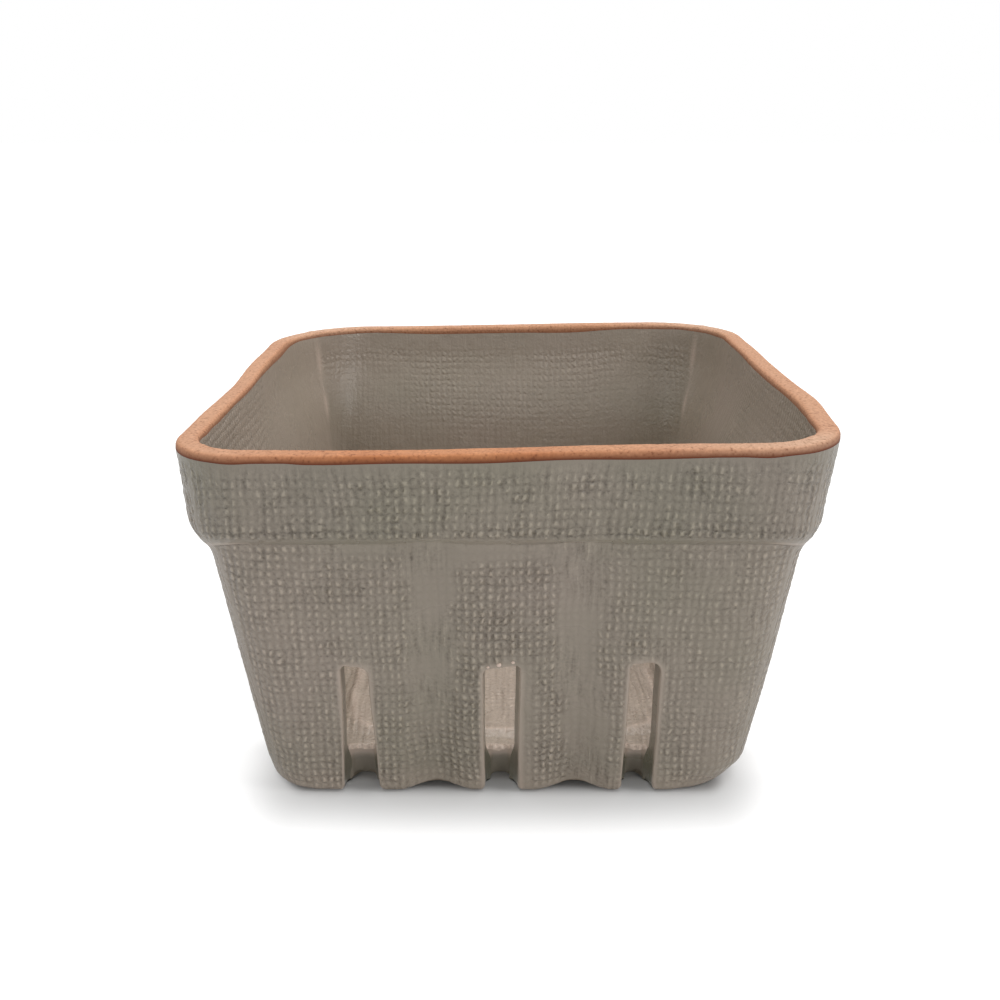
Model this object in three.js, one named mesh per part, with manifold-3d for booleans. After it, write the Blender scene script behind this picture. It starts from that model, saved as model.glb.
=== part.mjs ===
// Slab-built stoneware fruit basket in the shape of a berry basket.
// Millimetres, +Z up, front side facing -Y, origin at the middle of the base.
import * as THREE from "three";
import { mergeVertices } from "three/addons/utils/BufferGeometryUtils.js";
import Module from "manifold-3d";

// Overall sizes
const height = 87;
const rimSide = 140;
const rimCorner = 17.5;

// Slip layer in every joint between two slabs
const slipGap = 0.3;

// Rim coil
const rimThick = 5.2;
const rimHeight = 3.2;
const rimUpright = 1.1;

// Collar strips, depths from the rim top to the lower edge
const frontCollarDepth = 20.4;
const sideCollarDepth = 25.2;
const collarThick = 5;
const collarLeanDegrees = 7;
const collarEdgeRound = 4;

// Wall slabs
const footInset = 13.5;
const wallLeanDegrees = 7.3;
const wallThick = 6;
const wallFootCorner = 12;
const wallTopCorner = 13;
const footRound = 1.8;
const lapTopDepth = 13;
const lapFeather = 0.9;
const bendBelowCollar = 1.6;

// Flutes between the slots
const fluteWidth = 19;
const fluteFootDepth = 2.9;
const fluteTopDepth = 0.8;

// Slots in each wall, open to the table
const slotCount = 3;
const slotPitch = 32;
const slotWidth = 9;
const slotDraft = 0.9;
const slotBack = 8.4;
const slotTop = 35;
const slotTopRound = 3;

// Floor slab, dished in the middle
const floorLift = 0.8;
const floorThick = 5.7;
const floorEdgeRise = 1.8;
const floorEdgeWidth = 7;
const floorDishSteps = 3;

// Fineness of the curves
const cornerSteps = 6;
const roundSteps = 3;
const fluteSteps = 8;
const rimSteps = 8;
const slotSteps = 6;

// Colours
const glazeColour = 0x8b8279;
const clayColour = 0xc98f6b;

// Levels and faces that follow from the sizes
const slope = (degrees) => Math.tan(THREE.MathUtils.degToRad(degrees));
const footHalf = rimSide / 2 - footInset;
const rimBottom = height - rimHeight;
const collarTop = rimBottom - slipGap;
const frontCollarLow = height - frontCollarDepth;
const sideCollarLow = height - sideCollarDepth;
const cornerCollarLow = (frontCollarLow + sideCollarLow) / 2;
const lapTop = height - lapTopDepth;
const bend = Math.min(frontCollarLow, sideCollarLow) - bendBelowCollar;

const wallOuter = (z) => footHalf + z * slope(wallLeanDegrees);
const wallInner = (z) => wallOuter(z) - wallThick;
const wallCorner = (z) => THREE.MathUtils.lerp(wallFootCorner, wallTopCorner, z / frontCollarLow);
const collarOuter = (z) => rimSide / 2 - (collarTop - z) * slope(collarLeanDegrees);
const collarInner = (z) => collarOuter(z) - collarThick;
const collarCorner = (side) => rimCorner - (rimSide / 2 - side);

const wasm = await Module();
wasm.setup();

function toSolid(geometry) {
  const plain = new THREE.BufferGeometry();
  plain.setAttribute("position", geometry.getAttribute("position"));
  plain.setIndex(geometry.getIndex());
  const merged = mergeVertices(plain, 1e-4);
  return new wasm.Manifold(new wasm.Mesh({
    numProp: 3,
    vertProperties: Float32Array.from(merged.getAttribute("position").array),
    triVerts: Uint32Array.from(merged.getIndex().array),
  }));
}

function toGeometry(solid) {
  const mesh = solid.getMesh();
  const geometry = new THREE.BufferGeometry();
  geometry.setAttribute("position", new THREE.BufferAttribute(Float32Array.from(mesh.vertProperties), 3));
  geometry.setIndex(new THREE.BufferAttribute(Uint32Array.from(mesh.triVerts), 1));
  return geometry;
}

// Flat end of a loft, wound the same way as its ring
function capFaces(ring, start, reverse) {
  const normal = new THREE.Vector3();
  ring.forEach((point, i) => {
    normal.add(new THREE.Vector3().crossVectors(point, ring[(i + 1) % ring.length]));
  });
  normal.normalize();
  const across = new THREE.Vector3().subVectors(ring[1], ring[0]).normalize();
  const up = new THREE.Vector3().crossVectors(normal, across);
  const flat = ring.map((point) => new THREE.Vector2(point.dot(across), point.dot(up)));
  return THREE.ShapeUtils.triangulateShape(flat, []).flatMap(([a, b, c]) => {
    const turn = flat[b].clone().sub(flat[a]).cross(flat[c].clone().sub(flat[a]));
    const forward = (turn > 0) !== reverse;
    return forward ? [start + a, start + b, start + c] : [start + a, start + c, start + b];
  });
}

// Skin over closed rings of equal count, capped at both ends or joined into a loop
function loft(rings, joined) {
  const count = rings[0].length;
  const points = rings.flat();
  const faces = [];
  const spans = joined ? rings.length : rings.length - 1;
  for (let i = 0; i < spans; i += 1) {
    const here = i * count;
    const next = ((i + 1) % rings.length) * count;
    for (let j = 0; j < count; j += 1) {
      const k = (j + 1) % count;
      faces.push(here + j, next + j, next + k);
      faces.push(here + j, next + k, here + k);
    }
  }
  if (!joined) {
    faces.push(...capFaces(rings[0], 0, false));
    faces.push(...capFaces(rings.at(-1), spans * count, true));
  }
  let volume = 0;
  for (let i = 0; i < faces.length; i += 3) {
    const [a, b, c] = faces.slice(i, i + 3).map((index) => points[index]);
    volume += a.dot(new THREE.Vector3().crossVectors(b, c));
  }
  if (volume < 0) {
    faces.reverse();
  }
  const geometry = new THREE.BufferGeometry();
  geometry.setFromPoints(points);
  geometry.setIndex(faces);
  return geometry;
}

// Depth of the flutes at a place along a wall
function fluteShape(x) {
  const offset = Math.abs(x) - slotPitch / 2;
  return Math.abs(offset) < fluteWidth / 2 ? Math.cos(Math.PI * offset / fluteWidth) ** 2 : 0;
}

// Stations along one side from mitre to mitre: corner shares, then places along the flat
function sideStations(flatPlaces) {
  const shares = Array.from({ length: cornerSteps + 1 }, (_, i) => i / cornerSteps);
  return [
    ...shares.toReversed().map((share) => ({ hand: -1, share })),
    ...flatPlaces.map((x) => ({ hand: 0, x, share: 0 })),
    ...shares.map((share) => ({ hand: 1, share })),
  ];
}

// A profile point carried to its station, stopping half a slip layer short of the mitre
function placePoint(point, station) {
  if (station.hand === 0) {
    const cut = (point.flute ?? 0) * fluteShape(station.x);
    return new THREE.Vector3(station.x, cut - point.side, point.z);
  }
  const centre = point.side - point.corner;
  const angle = station.share * (Math.PI / 4 - Math.asin(slipGap / 2 / point.corner));
  const x = station.hand * (centre + point.corner * Math.sin(angle));
  return new THREE.Vector3(x, -(centre + point.corner * Math.cos(angle)), point.z);
}

// Lower edge of the collar, running from this side's level to the shared corner level
function collarLowAt(middle, station) {
  const turned = Math.cos(station.share * Math.PI / 2);
  return cornerCollarLow + (middle - cornerCollarLow) * turned;
}

function wallProfile(low) {
  const shoulder = low - slipGap;
  const tongue = (z) => {
    const side = collarInner(z) - slipGap;
    return { side, corner: collarCorner(side), z };
  };
  const foot = Array.from({ length: roundSteps + 1 }, (_, i) => {
    const angle = i / roundSteps * Math.PI / 2;
    const z = footRound * (1 - Math.sin(angle));
    const side = wallOuter(footRound) - footRound * (1 - Math.cos(angle));
    return { side, corner: wallCorner(z), z, flute: fluteFootDepth };
  });
  const inner = (z) => ({ side: wallInner(z), corner: wallCorner(z) - wallThick, z });
  const lip = tongue(lapTop);
  return [
    ...foot.toReversed(),
    { side: wallOuter(shoulder), corner: wallCorner(shoulder), z: shoulder, flute: fluteTopDepth },
    tongue(shoulder),
    lip,
    { side: lip.side - lapFeather, corner: lip.corner - lapFeather, z: lapTop },
    inner(bend),
    inner(0),
  ];
}

function collarProfile(low) {
  const place = (side, z) => ({ side, corner: collarCorner(side), z });
  const roundCentre = low + collarEdgeRound;
  const edge = Array.from({ length: roundSteps + 1 }, (_, i) => {
    const angle = i / roundSteps * Math.PI / 2;
    const side = collarOuter(roundCentre) - collarEdgeRound * (1 - Math.sin(angle));
    return place(side, roundCentre - collarEdgeRound * Math.cos(angle));
  });
  return [
    ...edge,
    place(collarOuter(collarTop), collarTop),
    place(collarInner(collarTop), collarTop),
    place(collarInner(low), low),
  ];
}

function sidePanel(profile, middle, flatPlaces) {
  const rings = sideStations(flatPlaces).map((station) => {
    return profile(collarLowAt(middle, station)).map((point) => placePoint(point, station));
  });
  return loft(rings, false);
}

// Round-nosed slot tool, drafted in plan and rounded at the top
function slotTool(x) {
  const nose = slotWidth / 2 - slotDraft;
  const back = slotBack - footHalf;
  const noseCentre = back - nose;
  const mouth = -rimSide / 2;
  const flare = slotDraft / (slotBack - nose);
  const mouthHalf = slotWidth / 2 + footInset * flare;
  const below = -footRound;
  const plan = new THREE.Shape();
  plan.moveTo(-mouthHalf, mouth);
  plan.lineTo(mouthHalf, mouth);
  plan.lineTo(nose, noseCentre);
  plan.absarc(0, noseCentre, nose, 0, Math.PI, false);
  plan.lineTo(-mouthHalf, mouth);
  const planDepth = slotTop - below;
  const upright = new THREE.ExtrudeGeometry(plan, {
    depth: planDepth,
    bevelEnabled: false,
    curveSegments: slotSteps,
  });
  upright.translate(0, 0, below);

  const half = slotWidth / 2;
  const arch = new THREE.Shape();
  arch.moveTo(-half, below);
  arch.lineTo(half, below);
  arch.absarc(half - slotTopRound, slotTop - slotTopRound, slotTopRound, 0, Math.PI / 2, false);
  arch.absarc(slotTopRound - half, slotTop - slotTopRound, slotTopRound, Math.PI / 2, Math.PI, false);
  arch.lineTo(-half, below);
  const through = new THREE.ExtrudeGeometry(arch, {
    depth: rimSide,
    bevelEnabled: false,
    curveSegments: slotSteps,
  });
  through.rotateX(Math.PI / 2);
  return toSolid(upright).intersect(toSolid(through)).translate([x, 0, 0]);
}

const slotPlaces = Array.from({ length: slotCount }, (_, i) => (i - (slotCount - 1) / 2) * slotPitch);
const slotTools = slotPlaces.map(slotTool);
const flutePlaces = [-1, 1].flatMap((hand) => Array.from({ length: fluteSteps + 1 }, (_, i) => {
  return hand * slotPitch / 2 + (i / fluteSteps - 0.5) * fluteWidth;
}));

function wallGeometry(middle) {
  let solid = toSolid(sidePanel(wallProfile, middle, flutePlaces));
  for (const tool of slotTools) {
    solid = solid.subtract(tool);
  }
  return toGeometry(solid);
}

function collarGeometry(middle) {
  return sidePanel(collarProfile, middle, []);
}

// Whole outline of a rounded square at one profile point
function outline({ side, corner, z }) {
  const centre = side - corner;
  return [0, 1, 2, 3].flatMap((quarter) => {
    const sx = quarter === 0 || quarter === 3 ? 1 : -1;
    const sy = quarter < 2 ? 1 : -1;
    return Array.from({ length: cornerSteps * 2 + 1 }, (_, i) => {
      const angle = (quarter + i / (cornerSteps * 2)) * Math.PI / 2;
      const x = sx * centre + corner * Math.cos(angle);
      return new THREE.Vector3(x, sy * centre + corner * Math.sin(angle), z);
    });
  });
}

function floorGeometry() {
  const top = floorLift + floorThick;
  const edge = (z) => {
    const side = wallInner(z) - slipGap;
    return { side, corner: wallCorner(z) - wallThick - slipGap, z };
  };
  const turnedUp = edge(top + floorEdgeRise);
  const dish = Array.from({ length: floorDishSteps + 1 }, (_, i) => {
    const share = i / floorDishSteps;
    const side = turnedUp.side - share * floorEdgeWidth;
    return outline({ side, corner: turnedUp.corner, z: top + floorEdgeRise * (1 - share) ** 2 });
  });
  let solid = toSolid(loft([outline(edge(floorLift)), ...dish], false));
  for (const quarter of [0, 90, 180, 270]) {
    for (const tool of slotTools) {
      solid = solid.subtract(tool.rotate([0, 0, quarter]));
    }
  }
  return toGeometry(solid);
}

function rimGeometry() {
  const middle = (rimSide - rimThick) / 2;
  const section = [new THREE.Vector2(middle + rimThick / 2, rimBottom)];
  for (let i = 0; i <= rimSteps; i += 1) {
    const angle = i / rimSteps * Math.PI;
    const side = middle + rimThick / 2 * Math.cos(angle);
    const crown = (rimHeight - rimUpright) * Math.sin(angle);
    section.push(new THREE.Vector2(side, rimBottom + rimUpright + crown));
  }
  section.push(new THREE.Vector2(middle - rimThick / 2, rimBottom));
  const rings = section.map(({ x, y }) => outline({ side: x, corner: collarCorner(x), z: y }));
  return loft(rings, true);
}

const object = new THREE.Group();
object.name = "stoneware_fruit_basket";

function addPiece(name, geometry, colour, roughness, quarter = 0) {
  const material = new THREE.MeshStandardMaterial({ color: colour, roughness, metalness: 0 });
  const mesh = new THREE.Mesh(geometry, material);
  mesh.name = name;
  mesh.rotation.z = quarter * Math.PI / 2;
  object.add(mesh);
}

const sides = [
  { side: "front", quarter: 0, low: frontCollarLow },
  { side: "right", quarter: 1, low: sideCollarLow },
  { side: "rear", quarter: 2, low: frontCollarLow },
  { side: "left", quarter: 3, low: sideCollarLow },
];

addPiece("floor_slab", floorGeometry(), glazeColour, 0.35);
for (const { side, quarter, low } of sides) {
  addPiece(`${side}_wall`, wallGeometry(low), glazeColour, 0.35, quarter);
  addPiece(`${side}_collar`, collarGeometry(low), glazeColour, 0.35, quarter);
}
addPiece("rim_coil", rimGeometry(), clayColour, 0.85);

export default object;
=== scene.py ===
"""Looks of the slab-built stoneware fruit basket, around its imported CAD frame."""
import math
from functools import partialmethod
from types import SimpleNamespace

import bpy
import numpy as np
from mathutils import Matrix, Vector


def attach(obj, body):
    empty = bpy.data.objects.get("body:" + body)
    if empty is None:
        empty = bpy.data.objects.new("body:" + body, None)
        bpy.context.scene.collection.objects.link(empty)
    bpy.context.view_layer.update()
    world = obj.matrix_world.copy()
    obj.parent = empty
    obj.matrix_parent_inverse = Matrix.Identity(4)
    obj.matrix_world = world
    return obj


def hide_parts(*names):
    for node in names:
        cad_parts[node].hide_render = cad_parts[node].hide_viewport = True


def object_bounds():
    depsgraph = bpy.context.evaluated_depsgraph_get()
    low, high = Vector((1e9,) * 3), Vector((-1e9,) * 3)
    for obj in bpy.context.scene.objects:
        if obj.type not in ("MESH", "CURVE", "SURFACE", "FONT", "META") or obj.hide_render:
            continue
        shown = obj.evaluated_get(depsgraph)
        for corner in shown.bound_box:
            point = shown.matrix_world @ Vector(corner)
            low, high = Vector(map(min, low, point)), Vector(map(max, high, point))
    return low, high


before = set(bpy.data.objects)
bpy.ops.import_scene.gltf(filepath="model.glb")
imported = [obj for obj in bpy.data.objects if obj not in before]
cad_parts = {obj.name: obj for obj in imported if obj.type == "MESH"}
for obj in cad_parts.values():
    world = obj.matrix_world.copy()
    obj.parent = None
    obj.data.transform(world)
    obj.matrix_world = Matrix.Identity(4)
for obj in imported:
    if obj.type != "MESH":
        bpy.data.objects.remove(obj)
cad_low, cad_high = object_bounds()

# Overall sizes in millimetres, from the frame
MM = 0.001
RIM_HALF = cad_high.x / MM
HEIGHT = cad_high.z / MM

# Rim, with the depth of its bare clay outside, inside and how much more there is inside at the back
RIM_CORNER = 17.5
RIM_THICK = 4.9
RIM_BARE = 1.9
RIM_BARE_INSIDE = 1.5
BACK_BARE = 0.8
RIM_SQUARE = 0.45
GLAZE_WANDER = 0.16

# Walls
FOOT_HALF = RIM_HALF - 13.5
WALL_LEAN = math.tan(math.radians(7.3))
WALL_THICK = 6.0
FOOT_CORNER = 12.0
WALL_TOP_CORNER = 13.0
FOOT_ROUND = 1.8

# Collar, its lower edge at the front and the sides, and its lap over the wall
FRONT_COLLAR_LOW = HEIGHT - 20.4
SIDE_COLLAR_LOW = HEIGHT - 25.2
COLLAR_LEAN = math.tan(math.radians(7.0))
COLLAR_ROUND = (2.6, 5.4)
COLLAR_RISE = (2.8, 9.5)
LAP_TOP = HEIGHT - 13.0
LAP_FLARE = 3.6
BEND = SIDE_COLLAR_LOW - 1.6

# Flutes and slots
SLOT_PITCH = 32.0
SLOT_PLACES = (-SLOT_PITCH, 0.0, SLOT_PITCH)
SLOT_SHIFT = -1.2
SLOT_TOP = 35.4
SLOT_ARCH = 7.0
SLOT_BACK = 8.4
SLOT_SILL = 5.8
SLOT_PINCH = 1.1
PINCH_TOP = 11.0
PINCH_FOOT = 5.5
SLOT_EDGE = 0.6
SLOT_ROUND = 2.0
SLOT_WIPED = 0.9
FLUTE_WIDTH = 19.0
FLUTE_FOOT = 2.2
FLUTE_TOP = 0.8

# Hand-cut outlines of a wall's three slots, looking at its outside
SLOT_SHAPES = (
    SimpleNamespace(shift=SLOT_SHIFT - 0.2, half=3.0, draft=(0.0, 0.2), flare=1.2, top=SLOT_TOP,
                    bend=(1.2, 2.8), slope=0.0, wiped=1.4),
    SimpleNamespace(shift=SLOT_SHIFT + 0.3, half=4.0, draft=(0.2, 0.8), flare=-0.2, top=SLOT_TOP - 0.2,
                    bend=(1.6, 0.8), slope=1.0, wiped=4.6),
    SimpleNamespace(shift=SLOT_SHIFT, half=3.3, draft=(0.2, 0.5), flare=0.3, top=SLOT_TOP + 0.9,
                    bend=(1.4, 2.6), slope=0.3, wiped=0.9),
)

# Beads of glaze over the widest slot: place across, height over its top and size
SLOT_BEADS = ((-0.6, 0.9, 0.6), (2.5, 1.5, 0.42), (-3.0, 0.2, 0.35))
# Beads painted lighter than the lightest glaze colour, a painted glint
BEAD_PAINTED_GLINT = 1.8

# Floor slab, with its turned-up edge, the raised line round its field and the notches behind the slots
FLOOR_LIFT = 0.8
FLOOR_TOP = 6.5
FLOOR_RISE = 1.8
FLOOR_OVERLAP = 0.2
FLOOR_COVE = 7.0
FLOOR_LIP = 1.4
FLOOR_STEP = 0.8
FLOOR_LINE = 12.6
LINE_HEIGHT = 0.35
FIELD_POWER = 8
NOTCH_POWER = 2.8
NOTCH_REACH = 12.0
SILL_REACH = 7.0
SILL_SIDES = 1.8
SILL_MIDDLE = 0.9

# Pressed cloth: its threads' pitch, how far its knots stand out and how much each knot differs
CLOTH_ACROSS = 1.7
CLOTH_UP = 1.97
CLOTH_HEIGHT = 0.3
LINEN_HEIGHT = 0.035
KNOT_RANGE = (0.35, 1.3)
KNOT_MEAN = 0.3
KNOT_TABLE = 97
NOISE_TABLE = 64
NOISE_START = (17.3, 9.1)

# Where the cloth was wiped away: bands that drift off the flutes below, and a strip under the collar
WIPE_DRIFT = 3.8
DRIFT_TOP = 40.0
DRIFT_FOOT = 4.0
STRIP_DEPTH = (8.0, 3.0)
STRIP_HALF = (46.0, 30.0)
STRIP_RIGHT = (26.0, 12.0)
COLLAR_EDGE = (2.0, 3.6)
MITRE_CALM = 1.6
CORNER_CALM = (17.0, 10.0)

# Painted light inside each side, a painted shade band across the rear wall, thinner glaze on and beside the
# slots' edges, painted shade in their flanks, and painted highlights down the mitres inside
INSIDE_PAINTED_LIGHT = (0.28, 0.34, 0.28, 0.4)
REAR_PAINTED_SHADE = (0.16, 65.0, 9.0)
EDGE_THIN = 0.5
FLANK_PAINTED_SHADE = -0.32
EDGE_RUN = 0.35
MITRE_PAINTED_HIGHLIGHTS = ((0.75, 7.0, 5.0), (0.7, 21.5, 4.0))

# Bows of the left and right sides, each with depth, centre and width, then a bulge and how far it runs
SIDE_BOWS = (
    (-1, ((1.7, -15.0, 37.0), (0.8, 38.0, 18.0)), (-0.8, 70.0, 9.0), 25.0),
    (1, ((1.9, -31.0, 20.0), (0.7, 15.0, 25.0)), (0.6, 30.0, 20.0), 30.0),
)
BULGE_PLACE = -50.0
BOW_LOW = 45.0
BOW_START = 30.0
BOW_RANGE = 40.0

# Unevenness of the rim's height and line
RIM_LIFT = 0.5
RIM_STEP = 0.4
RIM_STEP_PLACE = 8.0
RIM_STEP_WIDTH = 16.0
RIM_TILT = 0.5
RIM_SWAY = 0.3
RIM_RIPPLE = 0.15

# Corners in order: front right, rear right, rear left, front left
RIM_TUCK = (0.0, 8.0, 13.0, 0.0)
RIM_TUCK_LOW = 25.0
FOOT_TUCK = (3.1, 1.5, 1.5, 0.8)
FOOT_TUCK_START = 38.0
FOOT_TUCK_RANGE = 18.0
FOOT_TUCK_TOP = 7.5

# Fineness of the meshes, and the rows rounded at the crease and the bend
WINDOW_HALF = 8.0
WINDOW_TOP = 42.0
CELL = 4.0 / 9.0
FLAT_HALF = 40.0
FLAT_COLUMNS = round(FLAT_HALF / CELL)
BLEND_COLUMNS = 20
CORNER_COLUMNS = 24
WINDOW_ROWS = 96
UPPER_ROWS = 54
COLLAR_ROWS = 42
ROUND_ROWS = 12
RIM_ROWS = 22
WALL_END = WINDOW_ROWS + UPPER_ROWS
COLLAR_END = WALL_END + COLLAR_ROWS
RIM_END = COLLAR_END + RIM_ROWS
LAP = RIM_END + COLLAR_ROWS
LAST = LAP + WALL_END
FLANK_ROWS = int(WINDOW_ROWS * (SLOT_TOP - SLOT_ARCH) / WINDOW_TOP)
FACE_STEPS = 10
EDGE_STEPS = 6
THROUGH_STEPS = 7
FLOOR_EDGE_STEPS = 8
CREASE_ROWS = (7, 9)
CREASE_TIMES = 16
BEND_ROWS = (5, 30)
BEND_TIMES = 300
FAR = 200.0

# Sides, and the values that the materials read at each point
SIDES = ("front", "right", "rear", "left")
REAR, LEFT = 2, 3
LAYERS = ("cloth", "drag", "warp", "weft", "thin")
# The last value lightens the glaze where it is thinner and also carries painted light, painted highlights and
# painted shade; on the rim it carries stain and painted shade
CLOTH, DRAG, TONE_AND_LIGHT = 0, 1, 4


def limit(value):
    return np.clip(value, 0.0, 1.0)


def smooth(low, high, value):
    """0 below low, 1 above high, and an even rise between"""
    share = limit((value - low) / (high - low))
    return share * share * (3.0 - 2.0 * share)


def swell(value, centre, width):
    """1 at the centre, easing to 0 on both sides"""
    return np.exp(-((value - centre) / width) ** 2)


def bow(value, shape):
    """A swell of some depth"""
    depth, centre, width = shape
    return depth * swell(value, centre, width)


def noise(u, v, size, seed):
    """Even random field from -1 to 1 whose lumps are about the given size"""
    table = np.random.default_rng(seed).uniform(-1.0, 1.0, (NOISE_TABLE, NOISE_TABLE))
    table = np.pad(table, (0, 1), "wrap")
    a, b = np.asarray(u) / size + NOISE_START[0], np.asarray(v) / size + NOISE_START[1]
    i, j = np.floor(a).astype(int), np.floor(b).astype(int)
    across, up = smooth(0.0, 1.0, a - i), smooth(0.0, 1.0, b - j)
    i, j = i % NOISE_TABLE, j % NOISE_TABLE
    low = table[i, j] * (1 - across) + table[i + 1, j] * across
    high = table[i, j + 1] * (1 - across) + table[i + 1, j + 1] * across
    return low * (1 - up) + high * up


def layered(like, **values):
    """The values that the materials read, 0 where none is given"""
    return np.stack([values.get(name, 0.0) + np.zeros_like(like) for name in LAYERS])


# Faces of the clay body
def wall_outer(z):
    under = np.clip(FOOT_ROUND - z, 0.0, FOOT_ROUND)
    rounding = FOOT_ROUND - np.sqrt(FOOT_ROUND ** 2 - under ** 2)
    return FOOT_HALF + z * WALL_LEAN - rounding


def wall_corner(z):
    return FOOT_CORNER + (WALL_TOP_CORNER - FOOT_CORNER) * z / FRONT_COLLAR_LOW


def wall_inner(z):
    return FOOT_HALF + z * WALL_LEAN - WALL_THICK


def collar_outer(z):
    return RIM_HALF - (HEIGHT - z) * COLLAR_LEAN


def collar_corner(side):
    return RIM_CORNER - (RIM_HALF - side)


def flute(x, z):
    """Depth of the shallow flutes between the slots"""
    offset = np.abs(x) - SLOT_PITCH / 2
    shape = np.where(np.abs(offset) < FLUTE_WIDTH / 2, np.cos(np.pi * offset / FLUTE_WIDTH) ** 2, 0.0)
    share = limit(z / FRONT_COLLAR_LOW)
    return shape * (FLUTE_FOOT + (FLUTE_TOP - FLUTE_FOOT) * share)


def slot_shape(side_index, slot_index):
    return SLOT_SHAPES[(slot_index + side_index) % len(SLOT_SHAPES)]


def slot_clear(x, z, side_index):
    """0 at the edges of a wall's slots, rising to 1 where the cloth is whole, and the same for finer marks"""
    cloth, marks = 1.0, 1.0
    for slot_index, place in enumerate(SLOT_PLACES):
        shape = slot_shape(side_index, slot_index)
        offset = x - place - shape.shift
        dx = np.abs(offset) - shape.half + SLOT_ROUND
        dz = z - shape.top + SLOT_ROUND
        beyond = np.hypot(np.maximum(dx, 0.0), np.maximum(dz, 0.0))
        distance = beyond + np.minimum(np.maximum(dx, dz), 0.0) - SLOT_ROUND - SLOT_EDGE
        width = np.where(offset > 0, shape.wiped, SLOT_WIPED)
        cloth = np.minimum(cloth, smooth(-0.2, width, distance))
        marks = np.minimum(marks, smooth(-0.2, SLOT_WIPED, distance))
    return cloth, marks


# Surface detail, all in millimetres of height
def pressed(s, v, seed):
    """Relief of the cloth, below 0 in its holes and about 1 on its knots, and its threads across and up"""
    warp = (s + 0.3 * noise(s, v, 5.0, seed) + 0.8 * noise(s, v, 26.0, seed + 1)) / CLOTH_ACROSS
    weft = (v + 0.3 * noise(s, v, 4.5, seed + 2) + 0.9 * noise(s, v, 30.0, seed + 3)) / CLOTH_UP
    across = 0.5 + 0.5 * np.cos(2 * np.pi * warp)
    up = np.sqrt(0.5 + 0.5 * np.cos(2 * np.pi * weft))
    table = np.random.default_rng(seed).uniform(*KNOT_RANGE, (KNOT_TABLE, KNOT_TABLE))
    each = table[np.round(warp).astype(int) % KNOT_TABLE, np.round(weft).astype(int) % KNOT_TABLE]
    return across * up * each - KNOT_MEAN, warp, weft


def streaks(s, v, seed):
    """Upright drag marks where the cloth was smoothed away"""
    return 0.6 * noise(s, v * 0.05, 1.3, seed) + 0.4 * noise(s, v * 0.08, 2.6, seed + 1)


def crumbs(s, v, seed):
    """Small irregular lumps in the clay"""
    return 0.6 * noise(s, v, 1.3, seed) + 0.4 * noise(s, v, 0.8, seed + 1)


def mitre_calm(s, reach):
    """1 along a side, falling to 0 at the mitres so that neighbouring sides meet"""
    return smooth(0.0, MITRE_CALM, reach - np.abs(s))


def round_calm(s, reach):
    """Lower relief round the corners, where the cloth was drawn tight"""
    return 1.0 - 0.65 * smooth(*CORNER_CALM, reach - np.abs(s))


def wall_detail(s, z, reach, low, side_index, seed):
    """Outside of a wall: cloth, wiped away in the flutes, round the slots and under the collar"""
    band = SLOT_PITCH / 2 + WIPE_DRIFT * smooth(DRIFT_TOP, DRIFT_FOOT, z)
    beside = limit(2.0 * np.abs(np.abs(s) - band) / FLUTE_WIDTH)
    hollow = np.cos(0.5 * np.pi * beside) ** 2 + 0.25 * noise(s, z, 5.0, seed + 13)
    patch = 1.0 + 0.25 * noise(s, z, 6.0, seed + 10) + 0.2 * noise(s, z, 2.8, seed + 17)
    patch = patch - 0.4 * smooth(10.0, 60.0, s) + 0.25 * swell(s, 0.0, 10.0)
    kept = 0.6 * swell(z, 13.0, 11.0) * smooth(0.0, -6.0, s)
    strength = patch * (1.0 - 0.85 * smooth(0.2, 0.75, hollow) * (1.0 - kept))
    whole, marked = slot_clear(s, z, side_index)
    strength = strength * whole * smooth(0.3, 4.0, z)
    under = low - z + 3.0 * noise(s, z, 9.0, seed + 11)
    strip = smooth(*STRIP_HALF, np.abs(s)) * smooth(*STRIP_RIGHT, s) * smooth(*STRIP_DEPTH, under)
    strength = strength * (1.0 - 0.9 * strip) * smooth(-0.5, 1.5, low - z)
    calm = mitre_calm(s, reach)
    strength = np.clip(strength, 0.0, 1.4) * calm
    clear = marked * calm
    knot, warp, weft = pressed(s, z, seed)
    height = CLOTH_HEIGHT * round_calm(s, reach) * strength * knot
    height = height + clear * (0.06 * streaks(s, z, seed + 12) + 0.07 * crumbs(s, z, seed + 14))
    bare = 1.0 - limit(strength)
    drag = 1.1 * clear * bare * smooth(-0.6, 0.4, noise(s, z, 7.0, seed + 16))
    return height, layered(height, cloth=strength, drag=drag, warp=warp, weft=weft)


def collar_detail(s, v, depth, reach, seed):
    """Outside of the collar; v is measured up from its crease, depth down from the glaze line"""
    patch = 0.8 + 0.2 * noise(s, v, 5.0, seed + 20) + 0.3 * noise(s, v, 2.4, seed + 24)
    edge = smooth(0.6, 3.6, depth + 1.6 * noise(s, v, 5.0, seed + 21))
    calm = mitre_calm(s, reach)
    above = smooth(*COLLAR_EDGE, v)
    strength = np.clip(patch * edge + 0.6 * swell(v, 4.2, 1.2), 0.0, 1.5) * calm * above
    marks = 0.10 * streaks(s, v, seed + 22) * (1.2 - edge) + 0.14 * crumbs(s, v, seed + 23) * edge
    knot, warp, weft = pressed(s, v, seed + 6)
    height = 0.8 * CLOTH_HEIGHT * round_calm(s, reach) * strength * knot
    height = height + marks * smooth(0.0, 1.0, depth) * calm
    drag = (0.62 - 0.27 * edge) * calm * smooth(0.2, 1.2, depth) * above
    return height, layered(height, cloth=strength, drag=drag, warp=warp, weft=weft)


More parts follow.
